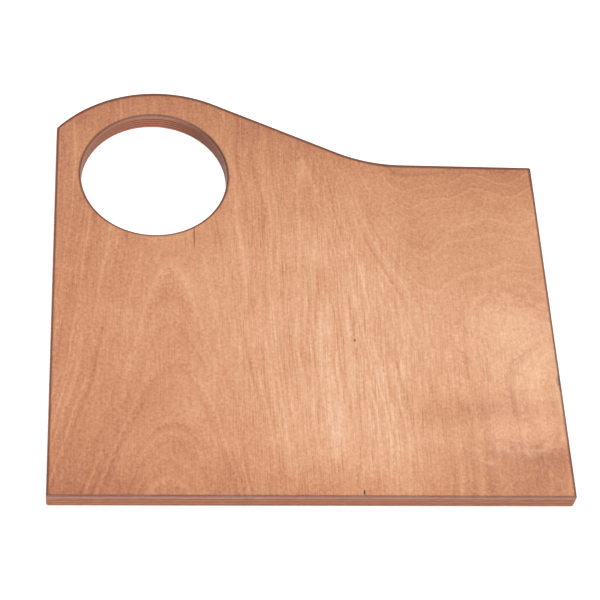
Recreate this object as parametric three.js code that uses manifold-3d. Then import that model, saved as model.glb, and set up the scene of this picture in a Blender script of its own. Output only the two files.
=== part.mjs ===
// Mixing palette: a flat birch plywood board with three straight edges, a back edge that swells
// into a crown on the left, and a round hand hole under the crown.
// Millimetres. +X runs along the front edge, +Y from the front edge to the back, +Z up out of the
// mixing face. The origin is under the middle of the board's box, on the surface that it lies on.
//
// The board is glued up from eleven veneers whose grain turns by a right angle from each to the
// next. The glued blank is then cut to its outline and its arrises are rounded, so every veneer is
// a slice of one shape.

import * as THREE from "three";
import { mergeVertices } from "three/addons/utils/BufferGeometryUtils.js";
import Module from "manifold-3d";

const wasm = await Module();
wasm.setup();

// ---- driving dimensions ----

const BOARD_WIDTH = 400; // along the front edge
const SHOULDER_DEPTH = 312; // from the front edge to the straight part of the back edge

const CROWN_RADIUS = 111; // outward curve of the back edge, round the hand hole
const CROWN_FROM_LEFT = 85;
const CROWN_FROM_FRONT = 271;

const HOLLOW_RADIUS = 128; // inward curve that runs the crown down into the straight part
const HOLLOW_FROM_LEFT = 288;

const HOLE_RADIUS = 60;
const HOLE_FROM_LEFT = 81;
const HOLE_FROM_FRONT = 296;

const CORNER_RADIUS = 2; // plan radius of the three square corners
const TIP_RADIUS = 3; // plan radius where the crown meets the left edge
const ARRIS_RADIUS = 1.5; // round-over of every edge, above and below

const INNER_VENEER = 1.375; // each of the nine inner veneers
const OUTER_VENEER = 1.3125; // the two outer ones, thinner because they are sanded

const CHORD_ERROR = 0.08; // how far a facet may stand inside its true arc
const ARRIS_FACETS = 3;

// ---- the veneers, from the mixing face down ----

const FACE_COLOUR = 0xd0936c;
const CROSSBAND_COLOUR = 0xb77862;
const LONGBAND_COLOUR = 0x9c6350;
const BACK_COLOUR = 0xc88a66;

const veneers = [
  { name: "face_veneer", thickness: OUTER_VENEER, colour: FACE_COLOUR },
  { name: "crossband_1", thickness: INNER_VENEER, colour: CROSSBAND_COLOUR },
  { name: "longband_1", thickness: INNER_VENEER, colour: LONGBAND_COLOUR },
  { name: "crossband_2", thickness: INNER_VENEER, colour: CROSSBAND_COLOUR },
  { name: "longband_2", thickness: INNER_VENEER, colour: LONGBAND_COLOUR },
  { name: "core_crossband", thickness: INNER_VENEER, colour: CROSSBAND_COLOUR },
  { name: "longband_3", thickness: INNER_VENEER, colour: LONGBAND_COLOUR },
  { name: "crossband_3", thickness: INNER_VENEER, colour: CROSSBAND_COLOUR },
  { name: "longband_4", thickness: INNER_VENEER, colour: LONGBAND_COLOUR },
  { name: "crossband_4", thickness: INNER_VENEER, colour: CROSSBAND_COLOUR },
  { name: "back_veneer", thickness: OUTER_VENEER, colour: BACK_COLOUR },
];

const boardThickness = veneers.reduce((sum, veneer) => sum + veneer.thickness, 0);
const boardDepth = CROWN_FROM_FRONT + CROWN_RADIUS;

// Places in plan, measured from the origin.
const left = -BOARD_WIDTH / 2;
const right = BOARD_WIDTH / 2;
const front = -boardDepth / 2;
const shoulder = front + SHOULDER_DEPTH;
const crown = new THREE.Vector2(left + CROWN_FROM_LEFT, front + CROWN_FROM_FRONT);
const hollow = new THREE.Vector2(left + HOLLOW_FROM_LEFT, shoulder + HOLLOW_RADIUS);
const hole = new THREE.Vector2(left + HOLE_FROM_LEFT, front + HOLE_FROM_FRONT);

// ---- the outline ----

// Points along an arc, ends included, close enough together to keep to the chord error.
function arc(centre, radius, from, to) {
  const widestStep = 2 * Math.acos(1 - CHORD_ERROR / radius);
  const steps = Math.ceil(Math.abs(to - from) / widestStep);
  const points = [];
  for (let i = 0; i <= steps; i += 1) {
    const angle = from + ((to - from) * i) / steps;
    const spoke = new THREE.Vector2(Math.cos(angle), Math.sin(angle));
    points.push(spoke.multiplyScalar(radius).add(centre));
  }
  return points;
}

// A rounded square corner: the arc's centre stands one radius in from both edges.
function corner(x, y, inwardX, inwardY, from) {
  const centre = new THREE.Vector2(x + inwardX * CORNER_RADIUS, y + inwardY * CORNER_RADIUS);
  return arc(centre, CORNER_RADIUS, from, from + Math.PI / 2);
}

// The crown and the hollow are joined by the straight line that touches both arcs. The line's
// normal, from the crown's centre, is this far round from +X.
function joinAngle() {
  const between = hollow.clone().sub(crown);
  const lean = Math.acos((CROWN_RADIUS + HOLLOW_RADIUS) / between.length());
  return between.angle() + lean;
}

// The small arc at the left end of the crown touches the left edge and the crown from inside.
function tipCentre() {
  const x = left + TIP_RADIUS;
  const y = crown.y + Math.sqrt((CROWN_RADIUS - TIP_RADIUS) ** 2 - (crown.x - x) ** 2);
  return new THREE.Vector2(x, y);
}

function outline() {
  const join = joinAngle();
  const tip = tipCentre();
  const tipAngle = tip.clone().sub(crown).angle();
  return [
    ...corner(left, front, 1, 1, Math.PI),
    ...corner(right, front, -1, 1, -Math.PI / 2),
    ...corner(right, shoulder, -1, -1, 0),
    ...arc(hollow, HOLLOW_RADIUS, -Math.PI / 2, join - Math.PI),
    ...arc(crown, CROWN_RADIUS, join, tipAngle),
    ...arc(tip, TIP_RADIUS, tipAngle, Math.PI).slice(1),
  ];
}

// ---- solids ----

// A closed three.js geometry as a solid that can be cut.
function toSolid(geometry) {
  const bare = geometry.clone();
  bare.deleteAttribute("normal");
  bare.deleteAttribute("uv");
  const merged = mergeVertices(bare);
  const vertProperties = new Float32Array(merged.attributes.position.array);
  const triVerts = new Uint32Array(merged.index.array);
  return new wasm.Manifold(new wasm.Mesh({ numProp: 3, vertProperties, triVerts }));
}

function toGeometry(solid) {
  const mesh = solid.getMesh();
  const geometry = new THREE.BufferGeometry();
  geometry.setAttribute("position", new THREE.BufferAttribute(mesh.vertProperties, 3));
  geometry.setIndex(new THREE.BufferAttribute(mesh.triVerts, 1));
  geometry.computeVertexNormals();
  return geometry;
}

// The whole board in one piece, with every arris rounded inwards.
function boardBlank() {
  const plan = new THREE.Shape(outline());
  plan.holes.push(new THREE.Path(arc(hole, HOLE_RADIUS, 0, 2 * Math.PI).slice(1)));
  const geometry = new THREE.ExtrudeGeometry(plan, {
    depth: boardThickness - 2 * ARRIS_RADIUS,
    bevelThickness: ARRIS_RADIUS,
    bevelSize: ARRIS_RADIUS,
    bevelOffset: -ARRIS_RADIUS,
    bevelSegments: ARRIS_FACETS,
  });
  geometry.translate(0, 0, ARRIS_RADIUS);
  return toSolid(geometry);
}

// A slab wider than the board. The outermost slabs also run past the board's faces.
function slab(bottom, top) {
  const past = BOARD_WIDTH;
  const low = bottom > 0 ? bottom : -past;
  const high = top < boardThickness ? top : boardThickness + past;
  const geometry = new THREE.BoxGeometry(2 * BOARD_WIDTH, 2 * BOARD_WIDTH, high - low);
  geometry.translate(0, 0, (low + high) / 2);
  return toSolid(geometry);
}

// ---- the board ----

const palette = new THREE.Group();
palette.name = "mixing_palette";

const blank = boardBlank();
let top = boardThickness;
for (const veneer of veneers) {
  const bottom = top - veneer.thickness;
  const material = new THREE.MeshStandardMaterial({
    color: veneer.colour,
    roughness: 0.4,
    metalness: 0,
  });
  const mesh = new THREE.Mesh(toGeometry(blank.intersect(slab(bottom, top))), material);
  mesh.name = veneer.name;
  palette.add(mesh);
  top = bottom;
}

export default palette;
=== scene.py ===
import math

import bpy
import numpy as np
from mathutils import Matrix, Vector


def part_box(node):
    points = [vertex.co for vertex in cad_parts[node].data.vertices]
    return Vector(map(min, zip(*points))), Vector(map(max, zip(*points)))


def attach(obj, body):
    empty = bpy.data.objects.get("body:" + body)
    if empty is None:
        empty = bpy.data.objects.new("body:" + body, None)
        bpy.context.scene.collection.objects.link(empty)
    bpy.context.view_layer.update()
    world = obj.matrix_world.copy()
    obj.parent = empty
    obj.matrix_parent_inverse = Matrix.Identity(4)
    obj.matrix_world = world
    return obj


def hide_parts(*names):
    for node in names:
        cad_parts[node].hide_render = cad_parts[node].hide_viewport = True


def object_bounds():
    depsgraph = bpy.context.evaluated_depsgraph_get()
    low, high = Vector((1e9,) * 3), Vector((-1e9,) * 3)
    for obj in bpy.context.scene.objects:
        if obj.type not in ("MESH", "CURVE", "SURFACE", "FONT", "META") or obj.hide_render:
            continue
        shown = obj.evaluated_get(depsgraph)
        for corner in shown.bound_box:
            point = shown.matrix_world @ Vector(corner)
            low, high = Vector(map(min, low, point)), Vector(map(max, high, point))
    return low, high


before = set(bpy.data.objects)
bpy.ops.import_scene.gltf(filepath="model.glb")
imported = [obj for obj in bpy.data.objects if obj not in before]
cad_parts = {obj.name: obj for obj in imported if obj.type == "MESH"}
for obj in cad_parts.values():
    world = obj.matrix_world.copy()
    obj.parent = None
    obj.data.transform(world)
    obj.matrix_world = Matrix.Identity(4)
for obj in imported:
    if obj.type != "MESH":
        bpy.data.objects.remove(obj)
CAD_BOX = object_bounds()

# ---- Back veneer ----
# The underside of the board: a rotary-cut birch veneer, 1.3 mm after sanding, laid with its grain
# running from front to back. It is glued up first, and the whole stack is then cut to its outline,
# so the outline, the way that every veneer is cut from it, and the stain are defined here.

MM = 0.001
LEFT, FRONT, UNDERSIDE = CAD_BOX[0]
RIGHT, BACK, MIXING_FACE = CAD_BOX[1]

CORNER_RADIUS = 2 * MM
TIP_RADIUS = 3 * MM
ARRIS_RADIUS = 1.5 * MM
SHOULDER = FRONT + 312 * MM
CROWN_RADIUS = 111 * MM
CROWN_CENTRE = complex(LEFT + 85 * MM, BACK - CROWN_RADIUS)
HOLLOW_RADIUS = 128 * MM
HOLLOW_CENTRE = complex(LEFT + 288 * MM, SHOULDER + HOLLOW_RADIUS)
HOLE_RADIUS = 60 * MM
HOLE_CENTRE = complex(LEFT + 81 * MM, FRONT + 296 * MM)

# Of the meshes: points along the outline, rows up a cut wall, the groove at a glue line, and the
# least fold that shades as a crisp edge.
SPACING = 2.2 * MM
WALL_ROW = 0.14 * MM
GROOVE = 0.05 * MM
CRISP_FOLD = math.radians(40)


def straight(start, end):
    """Points in plan from start to end, without the end, and the normal on the right-hand side."""
    count = max(1, round(abs(end - start) / SPACING))
    along = np.arange(count) / count
    normal = -1j * (end - start) / abs(end - start)
    return start + (end - start) * along, np.full(count, normal)


def arc(centre, radius, start, end):
    """Points centre + radius e^(i angle), without the end. The normal points away from the centre
    where the arc turns left, and towards it where the arc turns right."""
    widest_step = math.radians(12)
    count = max(1, math.ceil(abs(end - start) / min(SPACING / radius, widest_step)))
    spoke = np.exp(1j * (start + (end - start) * np.arange(count) / count))
    return centre + radius * spoke, spoke * np.sign(end - start)


def board_outline():
    """The outline in plan, anticlockwise from the front left corner, with its outward normals.
    The crown and the hollow are joined by the straight line that touches both."""
    between = HOLLOW_CENTRE - CROWN_CENTRE
    join = np.angle(between) + math.acos((CROWN_RADIUS + HOLLOW_RADIUS) / abs(between))
    tip_x = LEFT + TIP_RADIUS
    tip_rise = math.sqrt((CROWN_RADIUS - TIP_RADIUS) ** 2 - (CROWN_CENTRE.real - tip_x) ** 2)
    tip = complex(tip_x, CROWN_CENTRE.imag + tip_rise)
    tip_angle = np.angle(tip - CROWN_CENTRE)
    r = CORNER_RADIUS
    quarter = math.pi / 2
    spoke = np.exp(1j * join)
    pieces = [
        arc(complex(LEFT + r, FRONT + r), r, math.pi, 3 * quarter),
        straight(complex(LEFT + r, FRONT), complex(RIGHT - r, FRONT)),
        arc(complex(RIGHT - r, FRONT + r), r, -quarter, 0),
        straight(complex(RIGHT, FRONT + r), complex(RIGHT, SHOULDER - r)),
        arc(complex(RIGHT - r, SHOULDER - r), r, 0, quarter),
        straight(complex(RIGHT - r, SHOULDER), complex(HOLLOW_CENTRE.real, SHOULDER)),
        arc(HOLLOW_CENTRE, HOLLOW_RADIUS, -quarter, join - math.pi),
        straight(HOLLOW_CENTRE - HOLLOW_RADIUS * spoke, CROWN_CENTRE + CROWN_RADIUS * spoke),
        arc(CROWN_CENTRE, CROWN_RADIUS, join, tip_angle),
        arc(tip, TIP_RADIUS, tip_angle, math.pi),
        straight(complex(LEFT, tip.imag), complex(LEFT, FRONT + r)),
    ]
    points, normals = zip(*pieces)
    return np.concatenate(points), np.concatenate(normals)


RIM, RIM_NORMAL = board_outline()


def arris_inset(height):
    """How far the rounded arris stands in from the outline at a height: the side of a quarter
    circle, radius less the root of radius squared less the height above its centre squared."""
    depth = np.minimum(height - UNDERSIDE, MIXING_FACE - height)
    above = np.clip(ARRIS_RADIUS - depth, 0, ARRIS_RADIUS)
    return ARRIS_RADIUS - np.sqrt(ARRIS_RADIUS**2 - above**2)


def veneer_section(low, high, rows_below, rows_above):
    """Once round the cut section of a veneer, from the bottom of the hand hole's wall: up that
    wall, out over the top, down the outer wall and back underneath. Gives the share of the way
    from hole to outline, the height, and the inset of each point. Rows crowd towards the edges
    as a cosine, and a hairline groove runs where the veneer meets a glue line."""
    steps = max(2, math.ceil((high - low) / WALL_ROW))
    walls = low + (high - low) * np.arange(steps + 1) / steps
    groove = np.zeros(steps + 1)
    groove[0] = GROOVE if low > UNDERSIDE + MM else 0
    groove[-1] = GROOVE if high < MIXING_FACE - MM else 0
    inset = arris_inset(walls) + groove
    over = (1 - np.cos(np.pi * np.arange(1, rows_above) / rows_above)) / 2
    under = (1 + np.cos(np.pi * np.arange(1, rows_below) / rows_below)) / 2
    share = np.concatenate([walls * 0, over, walls * 0 + 1, under])
    height = np.concatenate([walls, over * 0 + high, walls[::-1], under * 0 + low])
    edge = np.concatenate([inset, over * 0 + inset[-1], inset[::-1], under * 0 + inset[0]])
    return share, height, edge


def veneer(name, rows_below=2, rows_above=2, sag=None):
    """A whole veneer as one closed ring of wood. Each point lies on the line from the hand hole to
    the outline, a share of the way along, and both ends of the line are drawn in by the inset. sag
    lowers the points of the top face by a function of their place in plan. Each point keeps how far
    through the veneer it lies, and how much painted shade darkens it, on the right-hand wall of the
    hole."""
    low, high = (corner.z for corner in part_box(name))
    share, height, inset = veneer_section(low, high, rows_below, rows_above)
    towards = RIM - HOLE_CENTRE
    spoke = (towards / abs(towards))[:, None]
    inner = HOLE_CENTRE + (HOLE_RADIUS + inset) * spoke
    outer = RIM[:, None] - inset * RIM_NORMAL[:, None]
    plan = inner * (1 - share) + outer * share
    tall = np.broadcast_to(height, plan.shape).copy()
    if sag is not None:
        tall -= sag(plan) * ((share > 0) & (share < 1) & (height > low))
    points = np.stack([plan.real, plan.imag, tall], axis=-1).reshape(-1, 3)
    around, across = plan.shape
    i, j = np.meshgrid(np.arange(around), np.arange(across), indexing="ij")
    after_i, after_j = (i + 1) % around, (j + 1) % across
    corners = [(i, j), (after_i, j), (after_i, after_j), (i, after_j)]
    quads = np.stack([a * across + b for a, b in corners], axis=-1).reshape(-1, 4)
    mesh = bpy.data.meshes.new(name)
    mesh.from_pydata(points, [], quads)
    mesh.polygons.foreach_set("use_smooth", np.ones(len(quads), bool))
    mesh.set_sharp_from_angle(angle=CRISP_FOLD)
    mark(mesh, "through", (tall.ravel() - low) / (high - low))
    # Painted shade on the right-hand wall of the hole, where the wall faces left.
    turned_right = np.clip((spoke.real - 0.1) / 0.5, 0, 1)
    mark(mesh, "right_wall_shade", (turned_right * (share == 0)).ravel())
    piece = bpy.data.objects.new(name + "_wood", mesh)
    bpy.context.scene.collection.objects.link(piece)
    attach(piece, "root")
    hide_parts(name)
    return piece, plan.ravel()


def mark(mesh, name, values):
    """Stores one number for each point of the mesh, for its material to read."""
    made = mesh.attributes.new(name, "FLOAT", "POINT")
    made.data.foreach_set("value", values.astype(np.float32))


# Points are measured against the whole outline in this many batches, to save memory.
BATCHES = 200


def edge_distance(plan):
    """Distance in plan, in millimetres, from the nearest cut edge: the hole or the outline."""
    to_hole = abs(plan - HOLE_CENTRE) - HOLE_RADIUS
    nearest = [abs(part[:, None] - RIM).min(axis=1) for part in np.array_split(plan, BATCHES)]
    return np.minimum(to_hole, np.concatenate(nearest)).clip(0) / MM


def linear(colour):
    """A colour written as sRGB hex, turned to linear light."""
    parts = np.array([int(colour[k : k + 2], 16) for k in (1, 3, 5)]) / 255
    light = np.where(parts > 0.04045, ((parts + 0.055) / 1.055) ** 2.4, parts / 12.92)
    return (*light, 1.0)


def add(tree, kind, inputs=None, stops=None, **settings):
    """Adds a shader node: its settings, its inputs as values or as links from a node's first
    output or from a given output, and the stops of a ramp."""
    made = tree.nodes.new("ShaderNode" + kind)
    for key, value in settings.items():
        setattr(made, key, value)
    for key, value in (inputs or {}).items():
        if isinstance(value, bpy.types.Node):
            tree.links.new(value.outputs[0], made.inputs[key])
        elif isinstance(value, bpy.types.NodeSocket):
            tree.links.new(value, made.inputs[key])
        else:
            made.inputs[key].default_value = value
    if stops:
        while len(made.color_ramp.elements) < len(stops):
            made.color_ramp.elements.new(0.5)
        for element, (place, colour) in zip(made.color_ramp.elements, stops):
            element.position = place
            element.color = linear(colour)
    return made


def new_material(name):
    made = bpy.data.materials.new(name)
    made.use_nodes = True
    made.node_tree.nodes.clear()
    return made, made.node_tree


# How far the dark band past the arris reaches, in millimetres, partly where the stain soaked in and
# partly painted shade, and how much painted shade darkens the right-hand wall of the hand hole.
SOAK_AND_SHADE_WIDTH = 1.3
RIGHT_WALL_SHADE_STRENGTH = 0.55
RIGHT_WALL_SHADE_COLOUR = "#4A1C0C"

# From the wood that drank most of the stain to the palest.
STAIN_TONES = [
    (0.0, "#925236"),
    (0.2, "#A66849"),
    (0.5, "#C38862"),
    (0.8, "#D6A482"),
    (1.0, "#DFB99B"),
]


def varnished_birch(name, offset, outer, flaws=()):
    """Rotary-cut birch face, wiped with a reddish-brown stain and varnished. Gives low-contrast
    figure lines that follow the growth attribute, streaks from front to back where the grain is
    straight, a fine mottle everywhere, a darker line at the sanded arris, partly where it drank
    more stain and partly painted shade, with paler wood below it, partly where the paper went
    through and partly a painted highlight, and painted shade on the right-hand wall of the hand
    hole.
    outer is 1 if the face is the top of the veneer and 0 if it is the underside. flaws are small
    marks: place, half width and half length in millimetres, and how dark each one is."""
    made, tree = new_material(name)
    place = add(tree, "TexCoord").outputs["Object"]
    wood = add(tree, "Mapping", {"Vector": place, "Scale": (1 / MM,) * 3})
    strewn = add(tree, "Mapping", {"Vector": wood, "Location": offset})
    kept = {}
    for attribute in ("growth", "flow", "edge", "paleness", "straight", "through", "right_wall_shade"):
        kept[attribute] = add(tree, "Attribute", attribute_name=attribute).outputs["Fac"]

    # Mottle 0.3 to 2 mm across, left by the sanding, turned so that it doesn't line up with the
    # board, and blotches up to 30 mm across where the stain sank in. The mottle frays the rings.
    layers = {}
    turned = add(tree, "Mapping", {"Vector": strewn, "Rotation": (0.4, 0.3, 0.6)})
    specks = {"Vector": turned, "Scale": 1 / 2.6, "Detail": 3, "Roughness": 0.8}
    layers["mottle"] = add(tree, "TexNoise", specks)
    layers["blotches"] = add(tree, "TexNoise", {"Vector": strewn, "Scale": 1 / 34, "Detail": 4})
    frayed = {0: layers["mottle"], 1: 3.5, 2: kept["growth"]}
    kept["growth"] = add(tree, "Math", frayed, operation="MULTIPLY_ADD")

    # Noise drawn out along the board: year rings cut at a slant, 4 to 12 mm apart, fibre bundles
    # 0.5 mm wide and 12 mm long, and vessels of about the same size. Real fibres and vessels are
    # thinner than 0.1 mm, and are drawn this coarse so that they show.
    along = add(tree, "SeparateXYZ", {0: strewn}).outputs[1]
    for layer, across, share_along, size, detail, seed in (
        ("rings", "growth", 0.02, 4.0, 2, 0.37),
        ("fibres", "flow", 0.035, 0.85, 2, 11.43),
        ("flecks", "flow", 0.04, 1.1, 1, 31.71),
    ):
        drawn = add(tree, "Math", {0: along, 1: share_along}, operation="MULTIPLY")
        spot = add(tree, "CombineXYZ", {0: kept[across], 1: drawn, 2: seed})
        grain = {"Vector": spot, "Scale": 1 / size, "Detail": detail, "Roughness": 0.65}
        layers[layer] = add(tree, "TexNoise", grain)
    # Bands that rise from 0 at the first level of the noise to 1 at the second.
    for layer, source, start, end in (
        ("pale lines", "rings", 0.57, 0.68),
        ("dark lines", "rings", 0.43, 0.32),
        ("dark flecks", "flecks", 0.6, 0.75),
    ):
        layers[layer] = add(tree, "MapRange", {0: layers[source], 1: start, 2: end})

    # How much each layer lightens the stain. Noise averages a half, so half its weight comes off
    # first. The streaks show only where the grain runs straight.
    streaky = {"fibres": 0.85, "dark flecks": -0.2}
    everywhere = {"rings": 0.18, "mottle": 0.75, "blotches": 0.30}
    bands = {"pale lines": 0.10, "dark lines": -0.08}
    streaks = -streaky["fibres"] / 2
    for layer, weight in streaky.items():
        inputs = {0: layers[layer], 1: weight, 2: streaks}
        streaks = add(tree, "Math", inputs, operation="MULTIPLY_ADD")
    average = sum(everywhere.values()) / 2
    level = add(tree, "Math", {0: kept["paleness"], 1: -average}, operation="ADD")
    for layer, weight in (everywhere | bands).items():
        level = add(tree, "Math", {0: layers[layer], 1: weight, 2: level}, operation="MULTIPLY_ADD")
    level = add(tree, "Math", {0: streaks, 1: kept["straight"], 2: level}, operation="MULTIPLY_ADD")
    colour = add(tree, "ValToRGB", {0: level}, stops=STAIN_TONES)

    for x, y, half_width, half_length, darkness in flaws:
        shrink = (1 / half_width, 1 / half_length, 0)
        middle = (-x / half_width, -y / half_length, 0)
        around = add(tree, "Mapping", {"Vector": wood, "Location": middle, "Scale": shrink})
        away = add(tree, "VectorMath", {0: around}, operation="LENGTH").outputs["Value"]
        inside = add(tree, "MapRange", {0: away, 1: 1.3, 2: 0.6, 3: 0.0, 4: darkness})
        colour = add(tree, "MixRGB", {0: inside, 1: colour, 2: linear("#2A1710")})
    # A darker band at the arris: partly wood that drank more stain, partly painted shade where the
    # rounded edge turns away from the light.
    arris = ARRIS_RADIUS / MM
    near_arris = {0: kept["edge"], 1: arris + SOAK_AND_SHADE_WIDTH, 2: arris, 3: 0.0, 4: 0.8}
    soaked_and_shaded = add(tree, "MapRange", near_arris)
    colour = add(tree, "MixRGB", {0: soaked_and_shaded, 1: colour, 2: linear("#542110")})

    # Paler wood below the dark band, on the wall of the veneer: partly where the paper went through
    # the stain, partly a painted highlight along the arris.
    sunk = add(tree, "Math", {0: kept["through"], 1: outer}, operation="SUBTRACT")
    sunk = add(tree, "Math", {0: sunk}, operation="ABSOLUTE")
    rubbed_and_highlit = add(tree, "MapRange", {0: sunk, 1: 0.15, 2: 0.45, 3: 0.0, 4: 0.4})
    colour = add(tree, "MixRGB", {0: rubbed_and_highlit, 1: colour, 2: linear("#C08C76")})
    # Painted shade on the right-hand wall of the hand hole.
    painted_shade = add(tree, "Math", {0: kept["right_wall_shade"], 1: RIGHT_WALL_SHADE_STRENGTH}, operation="MULTIPLY")
    colour = add(tree, "MixRGB", {0: painted_shade, 1: colour, 2: linear(RIGHT_WALL_SHADE_COLOUR)})

    relief = add(tree, "Bump", {"Height": level, "Strength": 0.15, "Distance": 0.2 * MM})
    ripple = add(tree, "TexNoise", {"Vector": strewn, "Scale": 1 / 14, "Detail": 2})
    film_height = add(tree, "Math", {0: level, 1: 0.25, 2: ripple}, operation="MULTIPLY_ADD")
    film = add(tree, "Bump", {"Height": film_height, "Strength": 0.4, "Distance": 0.4 * MM})
    varnished = {
        "Base Color": colour,
        "Roughness": 0.5,
        "Specular IOR Level": 0.1,
        "Normal": relief,
        "Coat Weight": 1.0,
        "Coat Roughness": 0.06,
        "Coat IOR": 1.5,
        "Coat Normal": film,
    }
    add(tree, "OutputMaterial", {0: add(tree, "BsdfPrincipled", varnished)})
    return made


def end_grain_thirst_and_falloff(plan):
    """How much of the stain drawn in by the cut ends of the grain reaches each point, which also
    stands for painted shade where the light falls off towards the front and the back: the sum along
    the outline of e^-(distance / 24 mm)^2, weighted by how squarely the edge cuts the grain, so
    that it is 1 on a straight front edge."""
    reach = 24 * MM
    step = abs(np.roll(RIM, -1) - np.roll(RIM, 1)) / 2
    weight = step * abs(RIM_NORMAL.imag) / (reach * math.sqrt(math.pi))
    sums = []
    for part in np.array_split(plan, BATCHES):
        sums.append(np.exp(-((abs(part[:, None] - RIM) / reach) ** 2)) @ weight)
    return np.concatenate(sums)


def mark_stain(mesh, plan, pale):
    """Stores a tone as a level of the stain's ramp, and the distance from the cut edges. The tone
    rises by pale where the veneer is denser and, on the face, where a pool of light is painted, and
    loses up to 15% towards the front and the back, partly where the end grain drank more and partly
    as painted shade where that light falls off. The distance is shortened along the back, which
    widens the dark band at the arris there, partly where the wiped stain collected and partly as
    painted shade on the far edge."""
    thirst_and_falloff = end_grain_thirst_and_falloff(plan)
    # pale is partly denser wood and, on the face, partly a painted pool of light; the loss towards
    # the front and the back is partly end-grain stain and partly painted shade.
    tone = (0.27 + 0.17 * pale) * (1 - 0.15 * thirst_and_falloff)
    mark(mesh, "paleness", tone / 0.493 - 0.195)
    # The dark band at the arris is widened along the back: partly stain, partly painted shade on
    # the far edge.
    mark(mesh, "edge", edge_distance(plan) - SOAK_AND_SHADE_WIDTH * thirst_and_falloff * (plan.imag > 0))


# Its figure is plain: lines that run from front to back and sway a little.
back, back_plan = veneer("back_veneer", rows_below=90)
mark(back.data, "growth", back_plan.real / MM * 0.35 + 5 * np.sin(back_plan.imag / MM / 55))
mark(back.data, "flow", back_plan.real / MM)
mark_stain(back.data, back_plan, pale=0.3)
mark(back.data, "straight", np.full(back_plan.size, 0.6))
back_birch = varnished_birch("birch_back_stained", offset=(300, 200, 0), outer=0.0)
back.data.materials.append(back_birch)


# ---- Inner veneers ----
# Nine birch veneers, 1.4 mm each, glued with their grain by turns across and along the board. Only
# their cut edges show, in the wall of the hand hole and round the outline, where the end grain
# has drunk more stain than the long grain.


def cut_edge(name, grain_axis, offset):
    """The sawn and sanded edge of a veneer whose grain runs along X (0) or Y (1). Gives a darker,
    speckled band where the cut crosses the grain and a paler, streaked band where it runs along it,
    with a thin dark line at each glue joint, and painted shade on the right-hand wall of the hand
    hole."""
    made, tree = new_material(name)
    place = add(tree, "TexCoord").outputs["Object"]
    wood = add(tree, "Mapping", {"Vector": place, "Location": offset, "Scale": (1 / MM,) * 3})
    facing = add(tree, "SeparateXYZ", {0: add(tree, "NewGeometry").outputs["Normal"]})
    squares = []
    for axis in (0, 1):
        squares.append(add(tree, "Math", {0: facing.outputs[axis], 1: 2.0}, operation="POWER"))
    both = add(tree, "Math", {0: squares[0], 1: squares[1]}, operation="ADD")
    end_grain = add(tree, "Math", {0: squares[grain_axis], 1: both}, operation="DIVIDE")

    # Streaks 8 mm long where the grain runs along the cut, and pores 0.7 mm across where it ends.
    stretch = [1.2, 1.2, 3.5]
    stretch[grain_axis] = 0.12
    streak_place = add(tree, "Mapping", {"Vector": wood, "Scale": stretch})
    streaks = add(tree, "TexNoise", {"Vector": streak_place, "Scale": 1, "Detail": 3})
    pores = add(tree, "TexNoise", {"Vector": wood, "Scale": 1 / 0.7, "Detail": 2})
    long_tones = [(0.35, "#925439"), (0.5, "#A8694C"), (0.65, "#BC7F61")]
    end_tones = [(0.35, "#633522"), (0.5, "#78452D"), (0.65, "#8B573D")]
    long_colour = add(tree, "ValToRGB", {0: streaks}, stops=long_tones)
    end_colour = add(tree, "ValToRGB", {0: pores}, stops=end_tones)
    colour = add(tree, "MixRGB", {0: end_grain, 1: long_colour, 2: end_colour})

    # Glue films 0.1 mm thick, drawn so that they fade out 0.17 mm to each side of the joint.
    through = add(tree, "Attribute", attribute_name="through").outputs["Fac"]
    middle = add(tree, "Math", {0: through, 1: 0.5}, operation="SUBTRACT")
    from_middle = add(tree, "Math", {0: middle}, operation="ABSOLUTE")
    glue = add(tree, "MapRange", {0: from_middle, 1: 0.38, 2: 0.5})
    colour = add(tree, "MixRGB", {0: glue, 1: colour, 2: linear("#5A3426")})
    # Painted shade on the right-hand wall of the hand hole.
    right_wall_shade = add(tree, "Attribute", attribute_name="right_wall_shade").outputs["Fac"]
    painted_shade = add(tree, "Math", {0: right_wall_shade, 1: RIGHT_WALL_SHADE_STRENGTH}, operation="MULTIPLY")
    colour = add(tree, "MixRGB", {0: painted_shade, 1: colour, 2: linear(RIGHT_WALL_SHADE_COLOUR)})
    relief = add(tree, "Bump", {"Height": streaks, "Strength": 0.3, "Distance": 0.2 * MM})
    sealed = {
        "Base Color": colour,
        "Roughness": 0.55,
        "Specular IOR Level": 0.1,
        "Normal": relief,
        "Coat Weight": 0.15,
        "Coat Roughness": 0.3,
    }
    add(tree, "OutputMaterial", {0: add(tree, "BsdfPrincipled", sealed)})
    return made


LAID_ACROSS = cut_edge("birch_crossband_edge_stained", 0, (0.0, 0.0, 0.0))
LAID_ALONG = cut_edge("birch_longband_edge_stained", 1, (0.5, 0.5, 0.0))

for cad_name in sorted(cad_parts):
    if "crossband" in cad_name or "longband" in cad_name:
        ply, _ = veneer(cad_name)
        across_board = "crossband" in cad_name
        ply.data.materials.append(LAID_ACROSS if across_board else LAID_ALONG)


# ---- Face veneer ----
# The mixing face: the best rotary-cut veneer of the stack, with nested arches at the front left, a
# tall leaf of nested loops in the middle and a curly, wavy valley in the far right corner. It is
# stained, then coated with a varnish whose film ripples slightly.


def step_up(value, middle, width):
    """Rises smoothly from 0 to 1 round the middle, as 1 / (1 + e^-x)."""
    return 1 / (1 + np.exp(-(value - middle) / width))


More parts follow.
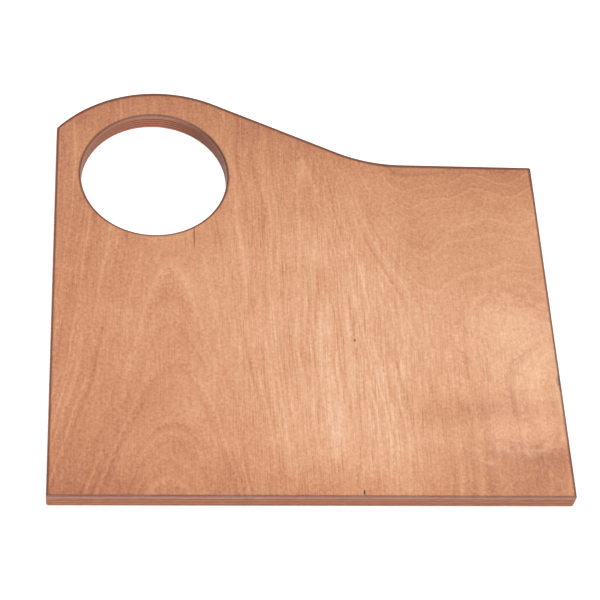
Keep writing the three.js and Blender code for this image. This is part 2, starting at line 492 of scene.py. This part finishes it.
def face_growth(plan):
    """How many millimetres of growth the knife has passed, at each point of the face. Contours of
    this are the figure lines. The arches are a hyperbola in x, added to a rise from front to back
    that levels off as tanh(y / 180). The leaf is a cone that is drawn out along the board. To its
    right the lines lean over by a term that grows as the square of y, and meet a valley, past
    which they climb again and then run nearly level. Four sine waves bend the lines, more so
    where the grain is curly."""
    x = (plan.real - LEFT) / MM
    y = (plan.imag - FRONT) / MM
    curly = step_up(0.8 * x + y, 430, 35)
    bent_x = x + (1.0 + 2 * curly) * np.sin(y / 27 + x / 90 + 0.6)
    bent_x += (0.5 + 1.5 * curly) * np.sin(y / 11 + x / 14)
    bent_y = y + (2 + 4 * curly) * np.sin(x / 19 + 0.4)
    bent_y += (1 + 2.5 * curly) * np.sin(x / 7.7 + y / 31)
    arches_x, arches_round = 94, 56
    flare = 4.5 * (np.hypot(bent_x - arches_x, arches_round) - arches_round)
    arches = 0.3 * (180 * np.tanh(bent_y / 180) + flare)
    # A loop of the leaf 5 mm wide to each side reaches 39 mm to the front and 78 to the back.
    leaf_x, leaf_y, loop_half_width, loop_reach = 218, 83, 5, 39
    near = (leaf_y - bent_y).clip(0) / loop_reach
    far = (bent_y - leaf_y).clip(0) / loop_reach
    leaf = 127 - np.hypot(bent_x - leaf_x, loop_half_width * (near**1.6 + 0.5 * far))
    in_leaf = step_up(bent_x, 165, 15)
    lean = step_up(bent_x, 238, 11) * (bent_y - 45).clip(0) ** 2 / 615
    valley_x, level_x = 297, 345
    past_valley = 6 * np.logaddexp(0, (bent_x - valley_x) / 6)
    far_right = 8 * np.logaddexp(0, (bent_x - level_x) / 8)
    in_valley = step_up(bent_y, 148, 20)
    climb = (0.5 + 0.9 * in_valley) * past_valley + (0.1 - 0.4 * in_valley) * far_right
    return (1 - in_leaf) * arches + in_leaf * leaf - lean + climb


def face_paleness(plan):
    """The pale heart of the face, partly paler wood and partly a painted pool of light from above,
    and the places where the stain lies thicker, which at the two near corners is partly also
    painted shade where that light falls off. Each is a bell, e^-(x^2 + y^2), given by its height,
    its middle and its half sizes in millimetres."""
    bells = [
        # The heart and its near end are partly paler wood and partly a painted pool of light; the
        # two near corners are partly thicker stain and partly painted shade.
        (1.00, 235, 150, 170, 150),  # heart
        (0.50, 245, 42, 62, 52),  # its near end
        (0.35, 385, 240, 40, 40),  # far right
        (-0.25, 300, 215, 25, 30),  # the bend of the far right figure
        (-0.50, 325, 76, 48, 12),  # two wipes that overlap
        (-0.60, 396, 35, 60, 15),  # near right corner
        (-0.40, 0, 0, 60, 45),  # near left corner
    ]
    x = (plan.real - LEFT) / MM
    y = (plan.imag - FRONT) / MM
    pale = np.zeros(plan.size)
    for tall, u, v, a, b in bells:
        pale += tall * np.exp(-(((x - u) / a) ** 2) - ((y - v) / b) ** 2)
    return pale


def face_straightness(plan):
    """How straight the grain runs: a tall bell, e^-(x^4), up the middle, lower at its far end and
    near the front edge, a low bell at the near right, and next to nothing in the far right
    corner."""
    x = (plan.real - LEFT) / MM
    y = (plan.imag - FRONT) / MM
    near_right = np.exp(-(((x - 310) / 60) ** 2) - ((y - 120) / 70) ** 2)
    in_corner = np.exp(-((np.hypot(x - 350, y - 345) / 135) ** 4))
    middle = np.exp(-(((x - 212) / 76) ** 4)) * (1 - 0.45 * step_up(y, 240, 15))
    middle *= 1 - 0.4 * step_up(-y, -45, 12)
    return (0.3 + 0.6 * middle + 0.35 * near_right) * (1 - 0.85 * in_corner)


def face_ripple(plan):
    """Depth to which the varnished face dips: three crossed sine waves, 40 to 60 mm long, summed,
    and at most 0.06 mm deep, so that reflections waver as they do on a brushed film."""
    x, y = plan.real / MM, plan.imag / MM
    waves = np.sin(x / 9 + 1.7 * np.sin(y / 23))
    waves += np.sin(y / 7 + x / 31 + 2)
    waves += np.sin(x / 14 - y / 12)
    return 0.01 * MM * (3 + waves)


# Each flaw: its place from the middle of the board, its half width and half length, all in
# millimetres, and how dark it is.
FLAWS = [
    (-87, 43, 0.45, 11, 0.75),  # hairline crack in front of the hand hole
    (37, -186.5, 0.8, 2.2, 0.9),  # pin mark near the front edge
    (38, -53, 0.9, 1.3, 0.7),  # speck
    (198.5, -89, 2.5, 6, 0.6),  # scuff on the right-hand edge
]

face, face_plan = veneer("face_veneer", rows_above=90, sag=face_ripple)
growth = face_growth(face_plan)
mark(face.data, "growth", growth)
mark(face.data, "flow", face_plan.real / MM + 0.12 * growth)
mark_stain(face.data, face_plan, face_paleness(face_plan))
mark(face.data, "straight", face_straightness(face_plan))
face_birch = varnished_birch("birch_face_stained", offset=(0, 0, 0), outer=1.0, flaws=FLAWS)
face.data.materials.append(face_birch)


# ---- Studio ----
# A white, faintly lit table top in a white room, with soft lamps above and in front of the board.
# Two panes of a window behind its far right corner are mirrored in the varnish, with a pale
# reflector above them.

table_mesh = bpy.data.meshes.new("table_top")
table_half = 40.0
table_z = UNDERSIDE - 0.2 * MM
table_plan = [(-table_half, -table_half), (table_half, -table_half)]
table_plan += [(table_half, table_half), (-table_half, table_half)]
table_mesh.from_pydata([(x, y, table_z) for x, y in table_plan], [], [(0, 1, 2, 3)])
table = bpy.data.objects.new("table_top", table_mesh)
bpy.context.scene.collection.objects.link(table)
table_glass, table_tree = new_material("opal_light_table")
table_top = add(table_tree, "BsdfDiffuse", {"Color": linear("#F4F4F4")})
table_glow = add(table_tree, "Emission", {"Color": linear("#FFFFFF"), "Strength": 0.42})
table_shader = add(table_tree, "AddShader", {0: table_top, 1: table_glow})
add(table_tree, "OutputMaterial", {0: table_shader})
table_mesh.materials.append(table_glass)

# The room's walls are white at table height and dimmer higher up.
room = bpy.data.worlds.new("white_room")
room.use_nodes = True
room_tree = room.node_tree
room_tree.nodes.clear()
looking = add(room_tree, "SeparateXYZ", {0: add(room_tree, "TexCoord").outputs["Generated"]})
dimming = add(room_tree, "MapRange", {0: looking.outputs[2], 1: 0.0, 2: 0.35, 3: 1.0, 4: 0.6})
room_light = add(room_tree, "Background", {"Color": linear("#FFFFFF"), "Strength": dimming})
add(room_tree, "OutputWorld", {0: room_light})
bpy.context.scene.world = room
bpy.context.scene.view_settings.view_transform = "Standard"


def softbox(name, place, target, size, power, tint="#FFFFFF"):
    """A rectangular lamp at a place, turned to face a target, that the camera doesn't see."""
    lamp = bpy.data.lights.new(name, "AREA")
    lamp.shape = "RECTANGLE"
    lamp.size, lamp.size_y = size
    lamp.energy = power
    lamp.color = linear(tint)[:3]
    lit = bpy.data.objects.new(name, lamp)
    bpy.context.scene.collection.objects.link(lit)
    lit.location = place
    lit.rotation_euler = (Vector(target) - Vector(place)).to_track_quat("-Z", "Y").to_euler()
    lit.visible_camera = False


softbox("softbox_above", (0, -0.2, 2.4), (0, -0.2, 0), (2.0, 2.0), 30)
softbox("softbox_front_left", (-1.2, -1.0, 1.8), (0, 0, 0), (1.5, 1.5), 8)
softbox("strip_front", (-0.1, -1.7, 1.1), (-0.1, 0, 0), (1.8, 0.25), 9)
softbox("window_pane_upper", (0.59, 0.838, 1.5), (0.59, 0.838, 0), (0.17, 0.2), 0.4, "#FFF3D6")
softbox("window_pane_lower", (0.56, 0.669, 1.5), (0.56, 0.669, 0), (0.14, 0.052), 0.13, "#FFF3D6")
softbox("reflector_right", (0.685, 0.9, 1.7), (0.685, 0.9, 0), (0.43, 0.7), 0.2)

# Angles in radians.
CAMERA_PLACE = (-0.1649, -0.7968, 1.2368)
LOOKS_DOWN, LOOKS_RIGHT, LEANS = 0.9927, 0.2037, 0.1857

camera_data = bpy.data.cameras.new("camera")
camera_data.sensor_width = 36
camera_data.lens = 109.8
camera = bpy.data.objects.new("camera", camera_data)
bpy.context.scene.collection.objects.link(camera)
turn = Matrix.Rotation(-LOOKS_RIGHT, 4, "Z") @ Matrix.Rotation(math.pi / 2 - LOOKS_DOWN, 4, "X")
camera.matrix_world = Matrix.Translation(CAMERA_PLACE) @ turn @ Matrix.Rotation(LEANS, 4, "Z")
bpy.context.scene.camera = camera
